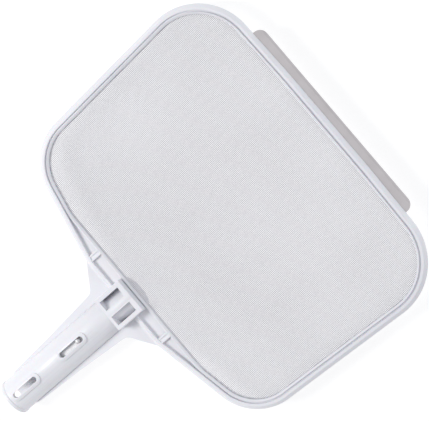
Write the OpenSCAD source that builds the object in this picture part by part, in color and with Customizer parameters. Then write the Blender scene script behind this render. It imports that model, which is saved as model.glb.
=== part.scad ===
// Flat leaf skimmer for a swimming pool: a rounded net frame on a tubular pole socket.
// Millimetres. +Z is the side that faces up in use, +Y runs from the handle to the leading edge,
// and the origin is under the middle of the whole outline.

/* [Head] */
// Half of the head's width at the front corners
front_half_w = 192.5; // [170:0.5:215]
// Half of the head's width at the back corners
back_half_w = 181; // [165:0.5:205]
// Leading edge of the rim, from the origin
front_y = 222.9; // [200:0.1:240]
// How far the front corners lie behind the middle of the leading edge
front_bow = 3; // [1:0.1:6]
// Where each side meets the slanting back wall, from the origin
back_corner_y = -41.1; // [-46:0.1:-36]
// Outside of the back wall at the handle, from the origin
back_y = -68.9; // [-74:0.1:-67]
// Corner radius at the front
front_corner_r = 65; // [40:1:75]
// Corner radius at the back
back_corner_r = 57; // [40:1:70]

/* [Rim section] */
// Height of the rim
rim_h = 8; // [7:0.1:10]
// Width of the sloping outer shoulder
shoulder_w = 3.3; // [2.5:0.1:3.6]
// Width from the outline to the ridge's inner face
wall_w = 6.3; // [5.9:0.1:6.4]
// Width from the outline to the net's free edge
rim_w = 10.8; // [10.5:0.1:12]
// Thickness of the net
net_t = 0.5; // [0.4:0.1:0.8]

/* [Throat box] */
// Half of the box's width
box_half_w = 19.9; // [19.4:0.1:22]
// Rear face of the box, where the tube's shoulder meets it
box_rear_y = -84.7; // [-88:0.1:-83]
// Front face of the box
box_front_y = -50.6; // [-51.2:0.1:-50.5]
// How far the box stands above the rim
box_rise = 9.3; // [7:0.1:10]
// Width of each window
window_w = 11; // [9:0.5:11]
// Width of the rib between the windows
window_rib_w = 8; // [6:0.5:9]

/* [Pole socket] */
// Outside radius of the tube
tube_r = 19.1; // [18.5:0.1:20]
// Radius of the bore that takes a 31.75 mm pole
pole_bore_r = 16.1; // [15.9:0.05:16.3]
// Open end of the tube, from the origin
mouth_y = -232; // [-250:0.5:-226]
// Length of the close-fitting bore behind the mouth
pole_bore_l = 55; // [50:1:55]
// Radius of the spigot that fits into the throat box
spigot_r = 14.5; // [13:0.1:15]
// Width of the two slots on top
slot_w = 6; // [5:0.1:7]
// Length of each slot, end to end
slot_l = 33; // [26:1:36]
// Distance between the slots' centres
slot_spacing = 69; // [60:1:80]
// Centre of the slot nearer the throat, from the origin
slot_front_y = -137; // [-145:0.5:-130]

/* [Scraper lip] */
// Width of the lip
lip_w = 231; // [200:1:240]
// Outer edge of the lip, from the origin
lip_front_y = 232; // [228:0.5:240]
// Thickness of the lip at its root
lip_t = 2.2; // [1.8:0.1:2.4]

/* [Lock clip] */
// Width of the spring strip
strip_w = 8; // [6:0.5:9]
// Thickness of the spring strip
strip_t = 0.8; // [0.5:0.1:1]
// Slope of both legs next to the bend
clip_angle = 40; // [30:1:50]
// Diameter of the lock button
button_d = 5.4; // [4.6:0.1:5.4]
// Button centre, from the origin
button_y = -127.5; // [-129:0.5:-126]

/* [Hidden] */
$fn = 96;

white_plastic = [0.95, 0.95, 0.97];
net_white = [0.86, 0.87, 0.89];
lip_grey = [0.73, 0.71, 0.72];
steel = [0.72, 0.73, 0.75];

bead_r = tube_r + 0.6;                  // bead at the tube's mouth
axis_z = bead_r;                        // the bead stands on the ground
box_top = axis_z + tube_r - 0.2;
rim_top = box_top - box_rise;
rim_bottom = rim_top - rim_h;
parting_z = rim_bottom + rim_h / 2;     // widest level of the rim, and the floor under the net
net_top = parting_z + net_t;
ring_top = rim_top - 0.3;
bend_half_w = 52;                       // where the back wall starts to slant
beam_y = -57.7;                         // back line of the ring's own outline
bow_half_w = 60;
small_r = 60;                           // rounds the shallow bends of both outlines
arc_step = 4;                           // degrees between the points of a round stretch
fit_gap = 0.15;

ridge_r = -wall_w;                      // profile coordinates: 0 is the outline, minus is inward
ring_foot_r = ridge_r - fit_gap;
ring_outer_r = -8;
ring_inner_r = 0.3 - rim_w;

tab_x = 55;
tab_w = 7;
tab_bottom = net_top + 1;
tab_t = 1.2;

plate_top = rim_bottom + 1;             // gusset plates and side flanges
plate_t = 2.8;

lip_root_y = front_y - 3.7;
lip_bead_r = 1.4;
lip_z = parting_z - 1.1;

tube_l = box_rear_y - mouth_y;
spigot_l = 28;
chamber_end = tube_l - 4;

clip_bend_r = 1.6;                      // inside radius of the bend
clip_apex_y = button_y - 46;
clip_lower_l = 54;                      // from the bend to each leg's end
clip_upper_l = 51;
// the lower leg's edges rest on the chamber's wall, at this level below the axis
clip_rest_h = sqrt(pow(pole_bore_r + 0.3, 2) - pow(strip_w / 2, 2)) - strip_t - 0.05;
clip_top_h = clip_rest_h - 1.05;        // level of the upper leg, above the axis
leg_gap = 0.35;                         // keeps the moving leg clear of the fixed bend
bend_extra = 0.03;                      // the bend is a touch thicker, so that the leg starts inside it

screw_d = 3.5;
screw_head_d = 7;
screw_front_y = -62.7;
screw_rear_y = -77.7;

// ---- Outlines: closed, counter-clockwise lists of [x, y, corner radius] ----

slope = (back_corner_y - back_y) / (back_half_w - bend_half_w);
beam_half_w = bend_half_w + (beam_y - back_y) / slope;

function mirrored(right) = concat(right, [for (i = [len(right) - 1 : -1 : 0])
    [-right[i][0], right[i][1], right[i][2]]]);

head_side = [[back_half_w, back_corner_y, back_corner_r],
             [front_half_w, front_y - front_bow, front_corner_r],
             [bow_half_w, front_y, small_r]];
outer_path = mirrored(concat([[bend_half_w, back_y, small_r]], head_side));
inner_path = mirrored(concat([[beam_half_w, beam_y, small_r]], head_side));

function unit(v) = v / norm(v);
function at(path, i) = path[(i + len(path)) % len(path)];
function vertex(path, i) = [at(path, i)[0], at(path, i)[1]];
function edge_dir(path, i) = unit(vertex(path, i + 1) - vertex(path, i));
function edge_out(path, i) = let (d = edge_dir(path, i)) [d[1], -d[0]];
function turn(path, i) = let (a = edge_dir(path, i - 1), b = edge_dir(path, i))
    atan2(a[0] * b[1] - a[1] * b[0], a * b);
function centre(path, i) = vertex(path, i) - unit(edge_out(path, i - 1) + edge_out(path, i))
    * at(path, i)[2] / cos(turn(path, i) / 2);
function heading(v) = atan2(v[1], v[0]);

// Points along the outline, each with its outward direction: [point, direction].
function arc_steps(path, i) = max(2, ceil(turn(path, i) / arc_step));
function stations(path) = [for (i = [0 : len(path) - 1]) for (k = [0 : arc_steps(path, i)])
    let (a = heading(edge_out(path, i - 1)) + turn(path, i) * k / arc_steps(path, i),
         out = [cos(a), sin(a)])
    [centre(path, i) + at(path, i)[2] * out, out]];

// The filled outline, moved inward by inset.
module outline(path, inset) {
    polygon([for (s = stations(path)) s[0] - inset * s[1]]);
}

// Carries a section (x outward from the outline, y up, counter-clockwise) all round the outline.
module sweep_round(path, section) {
    line = stations(path);
    n = len(section);
    total = len(line) * n;
    polyhedron(
        points = [for (s = line) for (p = section)
            [s[0][0] + p[0] * s[1][0], s[0][1] + p[0] * s[1][1], p[1]]],
        faces = [for (j = [0 : len(line) - 1]) for (k = [0 : n - 1])
            let (here = j * n, next = (j + 1) * n, up = (k + 1) % n)
            [here + k, here + up, (next + up) % total, (next + k) % total]]);
}

// A cylinder along Y from y0 to y1 at the tube's axis.
module along_y(r, y0, y1, z = axis_z) {
    translate([0, y0, z])
        rotate([-90, 0, 0])
            cylinder(r = r, h = y1 - y0);
}

module stadium(l, w) {
    for (side = [-1, 1])
        translate([0, side * (l - w) / 2])
            circle(d = w);
    square([w, l - w], center = true);
}

module both_sides() {
    children();
    mirror([1, 0, 0])
        children();
}

// ---- Frame ----

rim_section = [[-0.8, rim_bottom], [0, parting_z - 0.6], [0, parting_z + 0.3],
               [-shoulder_w + 0.2, rim_top - 0.5], [-shoulder_w - 0.1, rim_top - 0.1],
               [-shoulder_w - 0.5, rim_top], [ridge_r + 0.5, rim_top], [ridge_r, rim_top - 0.5],
               [ridge_r, net_top + 1], [ridge_r + 0.4, net_top + 0.9],
               [ridge_r + 0.4, net_top + 0.3], [ridge_r, net_top + 0.2], [ridge_r, rim_bottom]];

module floor_band() {
    translate([0, 0, parting_z - 1.6])
        linear_extrude(1.6)
            difference() {
                outline(outer_path, wall_w - 1);
                outline(inner_path, rim_w);
            }
    translate([0, 0, rim_bottom])
        linear_extrude(rim_h / 2)
            difference() {
                outline(inner_path, rim_w - 2);
                outline(inner_path, rim_w);
            }
}

// Slots in the back wall that the ring's tabs hook into.
module tab_slots() {
    both_sides()
        translate([tab_x - tab_w / 2 - 0.3, back_y + 4.2, tab_bottom - 0.1])
            cube([tab_w + 0.6, 5, tab_t + 0.3]);
}

module gusset_plate() {
    half = [[0, -214], [19.6, -214], [20.6, -210], [22, -190], [23.7, -156], [28.6, -94],
            [29.6, -90], [32, -87], [44, -78.7], [57, -69.1], [66, -65.2], [66, -62.7], [0, -62.7]];
    difference() {
        translate([0, 0, plate_top - plate_t])
            linear_extrude(plate_t)
                both_sides()
                    polygon(half);
        along_y(tube_r + fit_gap, mouth_y, box_rear_y);
    }
}

module gusset_ribs() {
    both_sides()
        for (rib = [[-80.7, 18], [-70.7, 34]])
            translate([box_half_w - 1, rib[0], plate_top - plate_t - 4])
                cube([rib[1], 2, 5]);
}

module throat_box() {
    top = box_top - axis_z;
    translate([0, box_front_y, axis_z])
        rotate([90, 0, 0])
            linear_extrude(box_front_y - box_rear_y)
                polygon([[-box_half_w, 0], [box_half_w, 0], [box_half_w, top - 0.8],
                         [box_half_w - 0.8, top], [0.8 - box_half_w, top], [-box_half_w, top - 0.8]]);
    along_y(tube_r, box_rear_y, box_front_y);
}

module throat_cuts() {
    along_y(spigot_r + 0.05, box_rear_y - 1, box_front_y - 3.6);
    both_sides()
        translate([window_rib_w / 2, box_rear_y + 3.2, axis_z + 2])
            cube([window_w, box_front_y - box_rear_y - 8.4, tube_r]);
    // groove for the foot of the ring and the net's edge
    translate([-box_half_w - 1, beam_y + wall_w, parting_z])
        cube([2 * box_half_w + 2, 2, net_t + 1.7]);
    for (y = [screw_front_y, screw_rear_y])
        translate([0, y, axis_z - tube_r - 1]) {
            cylinder(d = screw_head_d + 0.4, h = 3.6);
            cylinder(d = screw_d + 0.1, h = 8);
        }
}

// Groove along the leading edge that holds the lip's beaded root.
module lip_groove() {
    translate([-lip_w / 2 - 0.3, lip_root_y, lip_z])
        rotate([0, 90, 0])
            cylinder(r = lip_bead_r + 0.1, h = lip_w + 0.6);
    translate([-lip_w / 2 - 0.3, lip_root_y, lip_z - lip_t / 2 - 0.1])
        cube([lip_w + 0.6, 8, lip_t + 0.2]);
}

module main_frame() {
    color(white_plastic)
        difference() {
            union() {
                sweep_round(outer_path, rim_section);
                floor_band();
                gusset_plate();
                gusset_ribs();
                throat_box();
            }
            throat_cuts();
            tab_slots();
            lip_groove();
        }
}

// ---- Pole socket ----

// Half section of the tube: x is the radius, y the distance in from the mouth.
module tube_section() {
    polygon([[pole_bore_r + 0.8, 0], [bead_r - 0.8, 0], [bead_r - 0.2, 0.3], [bead_r, 0.9],
             [bead_r, 2.9], [bead_r - 0.3, 3.5], [tube_r - 0.4, 4.1], [tube_r - 0.4, 4.7], [tube_r, 5.2],
             [tube_r, tube_l], [spigot_r, tube_l], [spigot_r, tube_l + spigot_l],
             [spigot_r - 3, tube_l + spigot_l], [spigot_r - 3, chamber_end],
             [pole_bore_r + 0.3, chamber_end], [pole_bore_r + 0.3, pole_bore_l],
             [pole_bore_r, pole_bore_l], [pole_bore_r, 0.8]]);
}

module at_slots() {
    for (i = [0, 1])
        translate([0, slot_front_y - i * slot_spacing, axis_z])
            children();
}

module slot_rims() {
    intersection() {
        at_slots()
            linear_extrude(2 * tube_r)
                stadium(slot_l + 7.6, slot_w + 7.6);
        difference() {
            along_y(tube_r + 1.2, mouth_y + 4, box_rear_y - 4);
            along_y(tube_r - 0.6, mouth_y, box_rear_y);
        }
    }
}

module handle_tube() {
    color(white_plastic)
        difference() {
            union() {
                translate([0, mouth_y, axis_z])
                    rotate([-90, 0, 0])
                        rotate_extrude()
                            tube_section();
                slot_rims();
            }
            at_slots()
                linear_extrude(2 * tube_r)
                    stadium(slot_l, slot_w);
            for (y = [screw_front_y, screw_rear_y])
                translate([0, y, 0])
                    cylinder(d = screw_d + 0.1, h = axis_z - 6);
        }
}

// ---- Net, ring and lip ----

ring_section = [[ring_foot_r, net_top], [ring_foot_r, net_top + 0.3], [ring_foot_r + 0.3, net_top + 0.4],
                [ring_foot_r + 0.3, net_top + 0.8], [ring_foot_r, net_top + 0.9],
                [ring_foot_r, net_top + 1], [ring_outer_r + 0.1, net_top + 1.1],
                [ring_outer_r, ring_top - 0.4], [ring_outer_r - 0.4, ring_top],
                [ring_inner_r + 0.5, ring_top - 1.2], [ring_inner_r, ring_top - 1.8],
                [ring_inner_r, net_top]];

module ring_tab() {
    tab_front = beam_y - ring_outer_r;
    translate([tab_x - tab_w / 2, back_y + 5, tab_bottom])
        cube([tab_w, tab_front - back_y - 4.8, tab_t]);
    for (side = [-1, 1])
        translate([tab_x + side * 2.2 - 0.7, back_y + 7, tab_bottom + tab_t])
            cube([1.4, tab_front - back_y - 6.8, ring_top - tab_bottom - tab_t]);
}

module retaining_ring() {
    color(white_plastic) {
        sweep_round(inner_path, ring_section);
        both_sides()
            ring_tab();
    }
}

module mesh_panel() {
    color(net_white)
        translate([0, 0, parting_z])
            linear_extrude(net_t)
                outline(inner_path, wall_w + 0.5);
}

module scraper_lip() {
    reach = lip_front_y - lip_root_y;
    end_r = 9;
    color(lip_grey)
        intersection() {
            translate([-lip_w / 2, lip_root_y, lip_z])
                rotate([90, 0, 90])
                    linear_extrude(lip_w) {
                        circle(r = lip_bead_r);
                        polygon([[0, -lip_t / 2], [reach, -lip_t / 2], [reach, lip_t / 2 - 1.4],
                                 [reach - 2.2, lip_t / 2], [0, lip_t / 2]]);
                    }
            translate([0, lip_front_y, rim_bottom - 1])
                linear_extrude(rim_h + 2)
                    union() {
                        translate([-lip_w / 2, -40])
                            square([lip_w, 40 - end_r]);
                        translate([end_r - lip_w / 2, -40])
                            square([lip_w - 2 * end_r, 40]);
                        for (side = [-1, 1])
                            translate([side * (lip_w / 2 - end_r), -end_r])
                                circle(end_r);
                    }
        }
}

// ---- Lock clip, in the tube's upright middle plane ----

// One leg in profile: u runs from the bend's centre towards the throat, w up from the tube's axis.
function knee(r, h) = [(h - r * cos(clip_angle)) / tan(clip_angle) - r * sin(clip_angle), h];
function slope_point(r, start) = start * [cos(clip_angle), sin(clip_angle)]
    + r * [-sin(clip_angle), cos(clip_angle)];
function leg(h, start, end) = [
    slope_point(clip_bend_r, start), knee(clip_bend_r, h), [end, h], [end, h + strip_t],
    knee(clip_bend_r + strip_t, h + strip_t), slope_point(clip_bend_r + strip_t, start)];

module in_clip_plane() {
    translate([-strip_w / 2, clip_apex_y, axis_z])
        rotate([90, 0, 90])
            linear_extrude(strip_w)
                children();
}

module clip_spring() {
    color(steel) {
        in_clip_plane()
            difference() {
                circle(clip_bend_r + strip_t + bend_extra);
                circle(clip_bend_r - bend_extra);
                for (side = [-1, 1])
                    rotate(side * clip_angle)
                        translate([0, -5])
                            square(10);
            }
        in_clip_plane()
            mirror([0, 1])
                polygon(leg(clip_rest_h, -0.3, clip_lower_l));
    }
}

module clip_leg() {
    color(steel)
        difference() {
            in_clip_plane()
                polygon(leg(clip_top_h, leg_gap, clip_upper_l));
            translate([0, button_y, axis_z])
                cylinder(d = 3, h = tube_r);
        }
}

module clip_button() {
    base = axis_z + clip_top_h + strip_t;
    top = axis_z + tube_r + 1.6;
    color(steel)
        translate([0, button_y, 0]) {
            translate([0, 0, base - strip_t - 0.9])
                cylinder(d = 3, h = strip_t + 0.95);
            translate([0, 0, base - strip_t - 0.9])
                cylinder(d = 5, h = 0.9);
            translate([0, 0, base])
                rotate_extrude()
                    polygon([[0, 0], [3.6, 0], [3.6, 0.8], [button_d / 2, 0.8],
                             [button_d / 2, top - base - 1.4], [button_d / 2 - 0.4, top - base - 0.7],
                             [button_d / 2 - 1.2, top - base - 0.2], [0, top - base]]);
        }
}

// ---- Fasteners ----

module handle_screws() {
    color(steel)
        for (y = [screw_front_y, screw_rear_y])
            translate([0, y, axis_z - tube_r])
                difference() {
                    union() {
                        translate([0, 0, 2.6])
                            cylinder(d = screw_d, h = 8);
                        translate([0, 0, 0.4])
                            cylinder(d = screw_head_d, h = 2.2);
                    }
                    for (a = [0, 90])
                        rotate(a)
                            translate([-2, -0.4, 0])
                                cube([4, 0.8, 1.6]);
                }
}

main_frame();
handle_tube();
retaining_ring();
mesh_panel();
scraper_lip();
clip_spring();
clip_leg();
clip_button();
handle_screws();
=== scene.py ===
"""Flat leaf skimmer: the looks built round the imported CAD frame.

Metres, +Z up, +Y towards the lip.
"""

import math

import bpy
from mathutils import Matrix, Vector


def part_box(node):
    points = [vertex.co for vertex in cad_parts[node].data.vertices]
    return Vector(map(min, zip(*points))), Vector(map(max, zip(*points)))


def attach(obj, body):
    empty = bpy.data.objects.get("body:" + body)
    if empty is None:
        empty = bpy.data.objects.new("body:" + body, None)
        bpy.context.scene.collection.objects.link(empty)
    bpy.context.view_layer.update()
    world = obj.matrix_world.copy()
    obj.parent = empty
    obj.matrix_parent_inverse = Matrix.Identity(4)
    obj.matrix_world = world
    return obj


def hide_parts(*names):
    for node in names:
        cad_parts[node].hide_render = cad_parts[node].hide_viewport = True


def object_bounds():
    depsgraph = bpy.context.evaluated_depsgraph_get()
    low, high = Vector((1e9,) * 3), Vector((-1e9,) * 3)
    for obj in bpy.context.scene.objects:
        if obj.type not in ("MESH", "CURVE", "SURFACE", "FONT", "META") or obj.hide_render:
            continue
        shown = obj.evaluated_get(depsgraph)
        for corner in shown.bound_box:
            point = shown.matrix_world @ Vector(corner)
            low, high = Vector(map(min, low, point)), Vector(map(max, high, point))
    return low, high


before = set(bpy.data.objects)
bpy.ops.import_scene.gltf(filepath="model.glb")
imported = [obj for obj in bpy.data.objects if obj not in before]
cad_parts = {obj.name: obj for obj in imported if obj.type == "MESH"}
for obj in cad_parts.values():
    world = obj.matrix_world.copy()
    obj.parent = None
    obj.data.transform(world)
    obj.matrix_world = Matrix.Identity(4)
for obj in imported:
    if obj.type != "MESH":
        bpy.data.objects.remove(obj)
cad_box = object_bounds()
MM = 0.001

# ---- Camera ----

AIM = Vector((-9.0, 73.7, 28.7)) * MM    # the point that the camera looks at
DISTANCE = 2100.8 * MM
LEAN = math.radians(18.52)               # from straight above, towards the leading edge
SIDE_LEAN = math.radians(2.79)           # from straight above, towards +X
ROLL = math.radians(49.73)               # turns the picture
SENSOR = 36.0
LENS = 176.3

# ---- Sizes of the net ----

THREAD_PITCH = 1.5 * MM
THREAD_D = 0.5 * MM
THREAD_SIDES = 6
THREAD_STEPS = 20                        # pieces along each thread
LAYER_GAP = 0.15 * MM                    # between the middles of the two layers of threads
SAG = 2.6 * MM                           # in the middle of the net
RIPPLE = 0.5 * MM
WAVES = ((21, 34, 0, 1),                 # of the ripple: radians per metre along X and along Y,
         (47, -18, 1.3, 0.7))            # phase in radians, share of RIPPLE
FACES_UP = 0.9                           # a face whose normal's z is more than this is on top

# ---- Edges of the CAD pieces (EDGE_ROUND is in millimetres) ----

EDGE_ROUND = {"main_frame": 0.25, "handle_tube": 0.3, "retaining_ring": 0.25, "scraper_lip": 0.3,
              "clip_spring": 0.1, "clip_leg": 0.1, "clip_button": 0.15, "handle_screws": 0.1}
EDGE_ANGLE = math.radians(35)            # an edge is rounded where its faces turn by more than this
WELD_DISTANCE = 0.002 * MM

# ---- Light ----

KEY_TOWARDS = (-0.4, -0.55, 0.73)        # from the object, high over the handle's -X side
FILL_TOWARDS = (0, 0.9, 0.42)            # from the object, low in front of the leading edge
LIGHT_DISTANCE = 2.2
LIGHT_SIZE = {"key": 0.8, "fill": 0.9}
FLOOR_SIZE = 30
FLOOR_GAP = 0.1 * MM


def make_camera():
    back = Vector((math.sin(SIDE_LEAN), math.sin(LEAN) * math.cos(SIDE_LEAN),
                   math.cos(LEAN) * math.cos(SIDE_LEAN)))
    level_up = back.cross(Vector((1, 0, 0))).normalized()
    level_right = level_up.cross(back)
    right = math.cos(ROLL) * level_right + math.sin(ROLL) * level_up
    up = math.cos(ROLL) * level_up - math.sin(ROLL) * level_right
    data = bpy.data.cameras.new("camera")
    data.sensor_width = SENSOR
    data.lens = LENS
    camera = bpy.data.objects.new("camera", data)
    turn = Matrix((right, up, back)).transposed().to_4x4()
    camera.matrix_world = Matrix.Translation(AIM + DISTANCE * back) @ turn
    bpy.context.scene.collection.objects.link(camera)
    bpy.context.scene.camera = camera


# ---- Materials ----

NOISE_RANGE = (0.3, 0.7)                 # most of a noise texture's values are in here


class Finish:
    """A material under construction: a Principled shader, and nodes in object space."""

    def __init__(self, name, **sockets):
        self.material = bpy.data.materials.new(name)
        self.material.use_nodes = True
        self.tree = self.material.node_tree
        self.shader = self.tree.nodes["Principled BSDF"]
        for socket, value in sockets.items():
            self.shader.inputs[socket.replace("_", " ")].default_value = value
        self.place = self.tree.nodes.new("ShaderNodeTexCoord").outputs["Object"]

    def noise(self, scale, detail=4.0, stretch=(1, 1, 1)):
        """Noise from 0 to 1 with scale features in a metre, stretched along the axes."""
        mapping = self.tree.nodes.new("ShaderNodeMapping")
        mapping.inputs["Scale"].default_value = stretch
        texture = self.tree.nodes.new("ShaderNodeTexNoise")
        texture.inputs["Scale"].default_value = scale
        texture.inputs["Detail"].default_value = detail
        self.tree.links.new(self.place, mapping.inputs["Vector"])
        self.tree.links.new(mapping.outputs["Vector"], texture.inputs["Vector"])
        return texture.outputs["Fac"]

    def colours(self, value, low, high):
        """The base colour goes from low to high as value goes over NOISE_RANGE."""
        ramp = self.tree.nodes.new("ShaderNodeValToRGB")
        ramp.color_ramp.elements[0].position = NOISE_RANGE[0]
        ramp.color_ramp.elements[1].position = NOISE_RANGE[1]
        ramp.color_ramp.elements[0].color = (*low, 1)
        ramp.color_ramp.elements[1].color = (*high, 1)
        self.tree.links.new(value, ramp.inputs["Fac"])
        self.tree.links.new(ramp.outputs["Color"], self.shader.inputs["Base Color"])

    def roughness(self, value, low, high):
        """The roughness goes from low to high in the same way."""
        spread = self.tree.nodes.new("ShaderNodeMapRange")
        spread.inputs["From Min"].default_value = NOISE_RANGE[0]
        spread.inputs["From Max"].default_value = NOISE_RANGE[1]
        spread.inputs["To Min"].default_value = low
        spread.inputs["To Max"].default_value = high
        self.tree.links.new(value, spread.inputs["Value"])
        self.tree.links.new(spread.outputs["Result"], self.shader.inputs["Roughness"])

    def bump(self, value, depth, strength):
        """A relief of that depth where value is 1."""
        node = self.tree.nodes.new("ShaderNodeBump")
        node.inputs["Strength"].default_value = strength
        node.inputs["Distance"].default_value = depth
        self.tree.links.new(value, node.inputs["Height"])
        self.tree.links.new(node.outputs["Normal"], self.shader.inputs["Normal"])


def white_plastic():
    """Injection-moulded white plastic, satin, with faint flow marks."""
    finish = Finish("white_plastic", IOR=1.49, Subsurface_Weight=0.08, Subsurface_Scale=1.5 * MM)
    finish.colours(finish.noise(14), (0.80, 0.80, 0.84), (0.85, 0.85, 0.88))
    finish.roughness(finish.noise(60), 0.30, 0.42)
    finish.bump(finish.noise(1400), 0.02 * MM, 0.5)
    return finish.material


def nylon():
    """White nylon thread, a little uneven across the net."""
    finish = Finish("nylon_net", IOR=1.53)
    finish.colours(finish.noise(7), (0.50, 0.495, 0.535), (0.62, 0.615, 0.655))
    finish.roughness(finish.noise(400), 0.35, 0.5)
    return finish.material


def vinyl():
    """Soft warm-grey lip, matt."""
    finish = Finish("lip_vinyl", IOR=1.5)
    finish.colours(finish.noise(40), (0.50, 0.47, 0.475), (0.56, 0.53, 0.535))
    finish.roughness(finish.noise(300), 0.5, 0.65)
    finish.bump(finish.noise(1800), 0.03 * MM, 0.6)
    return finish.material


def spring_steel():
    """Satin spring strip, rolled along Y; less than fully metallic, as light hardly reaches it."""
    finish = Finish("spring_steel", Metallic=0.75)
    finish.colours(finish.noise(120), (0.68, 0.68, 0.69), (0.77, 0.77, 0.78))
    finish.roughness(finish.noise(900, stretch=(1, 0.03, 1)), 0.45, 0.62)
    finish.bump(finish.noise(2500, stretch=(1, 0.02, 1)), 0.01 * MM, 0.4)
    return finish.material


def floor_finish():
    """White paper, lit a little from below as on a light table, which keeps the shadows pale."""
    finish = Finish("pale_floor", Roughness=0.9, Emission_Strength=0.74)
    finish.shader.inputs["Base Color"].default_value = (0.34, 0.34, 0.34, 1)
    finish.shader.inputs["Emission Color"].default_value = (1, 1, 1, 1)
    return finish.material


def wear(obj, material):
    obj.data.materials.clear()
    obj.data.materials.append(material)


# ---- Net ----

def outline_edges(node):
    """The border of the node's top face, as pairs of points."""
    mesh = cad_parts[node].data
    uses = {}
    for polygon in mesh.polygons:
        if polygon.normal.z > FACES_UP:
            for key in polygon.edge_keys:
                uses[key] = uses.get(key, 0) + 1
    return [[mesh.vertices[i].co for i in key] for key, times in uses.items() if times == 1]


def crossing_ends(edges, across, at):
    """Where a straight line at that place on the axis across enters and leaves the outline."""
    along = 1 - across
    hits = []
    for a, b in edges:
        if (a[across] - at) * (b[across] - at) < 0:
            share = (at - a[across]) / (b[across] - a[across])
            hits.append(a[along] + share * (b[along] - a[along]))
    return (min(hits), max(hits)) if hits else None


def add_tube(points, across, vertices, faces):
    """A closed round tube of THREAD_D along points, whose sections stand across the given axis."""
    first = len(vertices)
    sides = THREAD_SIDES
    for point in points:
        for k in range(sides):
            turn = 2 * math.pi * (k + 0.5) / sides
            offset = [0, 0, THREAD_D / 2 * math.sin(turn)]
            offset[across] = THREAD_D / 2 * math.cos(turn)
            vertices.append(point + Vector(offset))
    flip = across == 1
    for j in range(len(points) - 1):
        for k in range(sides):
            a, b = first + j * sides + k, first + j * sides + (k + 1) % sides
            quad = (a, a + sides, b + sides, b)
            faces.append(quad[::-1] if flip else quad)
    start = tuple(range(first, first + sides))
    end = tuple(range(len(vertices) - sides, len(vertices)))
    faces.append(start[::-1] if flip else start)
    faces.append(end if flip else end[::-1])


def make_net():
    """Two crossing layers of straight threads, which sag a little towards the middle."""
    edges = outline_edges("mesh_panel")
    low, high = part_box("mesh_panel")
    middle_z = (low.z + high.z) / 2
    vertices, faces = [], []

    def height(x, y):
        x_ends, y_ends = crossing_ends(edges, 1, y), crossing_ends(edges, 0, x)
        if not x_ends or not y_ends:
            return middle_z
        u = (x - x_ends[0]) / (x_ends[1] - x_ends[0])
        v = (y - y_ends[0]) / (y_ends[1] - y_ends[0])
        bowl = max(0.0, math.sin(math.pi * u)) * max(0.0, math.sin(math.pi * v))
        waves = sum(share * math.sin(x_rate * x + y_rate * y + phase)
                    for x_rate, y_rate, phase, share in WAVES)
        return middle_z - bowl * (SAG + RIPPLE * waves)

    for across in (0, 1):
        along = 1 - across
        count = int((high[across] - low[across]) / THREAD_PITCH)
        first = (low[across] + high[across] - (count - 1) * THREAD_PITCH) / 2
        lift = LAYER_GAP / 2 * (1 if across else -1)
        for i in range(count):
            at = first + i * THREAD_PITCH
            ends = crossing_ends(edges, across, at)
            if not ends:
                continue
            points = []
            for step in range(THREAD_STEPS + 1):
                point = [0, 0, 0]
                point[across] = at
                point[along] = ends[0] + (ends[1] - ends[0]) * step / THREAD_STEPS
                point[2] = height(point[0], point[1]) + lift
                points.append(Vector(point))
            add_tube(points, across, vertices, faces)

    mesh = bpy.data.meshes.new("net")
    mesh.from_pydata(vertices, [], faces)
    mesh.update()
    net = bpy.data.objects.new("net", mesh)
    bpy.context.scene.collection.objects.link(net)
    wear(net, nylon())
    mesh.polygons.foreach_set("use_smooth", [len(p.vertices) == 4 for p in mesh.polygons])
    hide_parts("mesh_panel")
    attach(net, "frame")


# ---- CAD pieces ----

def dress_cad():
    """Gives each CAD piece its finish and softens its edges."""
    white, grey, steel = white_plastic(), vinyl(), spring_steel()
    finishes = {"main_frame": white, "handle_tube": white, "retaining_ring": white,
                "scraper_lip": grey, "clip_spring": steel, "clip_leg": steel,
                "clip_button": steel, "handle_screws": steel}
    for name, material in finishes.items():
        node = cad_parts[name]
        wear(node, material)
        soften(node, EDGE_ROUND[name] * MM)


def soften(node, width):
    """Joins the split corners of the CAD mesh and rounds its sharp edges."""
    weld = node.modifiers.new("weld", "WELD")
    weld.merge_threshold = WELD_DISTANCE
    bevel = node.modifiers.new("edges", "BEVEL")
    bevel.width = width
    bevel.segments = 2
    bevel.limit_method = "ANGLE"
    bevel.angle_limit = EDGE_ANGLE
    bevel.use_clamp_overlap = True
    bevel.harden_normals = True


# ---- Floor and light ----

def make_floor():
    bpy.ops.mesh.primitive_plane_add(size=FLOOR_SIZE, location=(0, 0, cad_box[0].z - FLOOR_GAP))
    floor = bpy.context.object
    floor.name = "floor"
    wear(floor, floor_finish())


def area_light(name, direction, power, colour):
    """A square soft light that shines on the object from that direction."""
    data = bpy.data.lights.new(name, "AREA")
    data.shape = "SQUARE"
    data.size = LIGHT_SIZE[name]
    data.energy = power
    data.color = colour
    light = bpy.data.objects.new(name, data)
    towards = Vector(direction).normalized()
    light.location = AIM + towards * LIGHT_DISTANCE
    light.rotation_mode = "QUATERNION"
    light.rotation_quaternion = towards.to_track_quat("Z", "Y")
    bpy.context.scene.collection.objects.link(light)


def make_light():
    world = bpy.data.worlds.new("studio")
    bpy.context.scene.world = world
    world.use_nodes = True
    background = world.node_tree.nodes["Background"]
    background.inputs["Color"].default_value = (0.94, 0.955, 1.0, 1)
    background.inputs["Strength"].default_value = 0.54
    area_light("key", KEY_TOWARDS, power=25, colour=(1.0, 0.995, 0.98))
    area_light("fill", FILL_TOWARDS, power=10, colour=(0.96, 0.98, 1.0))
    bpy.context.scene.view_settings.view_transform = "Standard"


make_camera()
dress_cad()
make_net()
make_floor()
make_light()
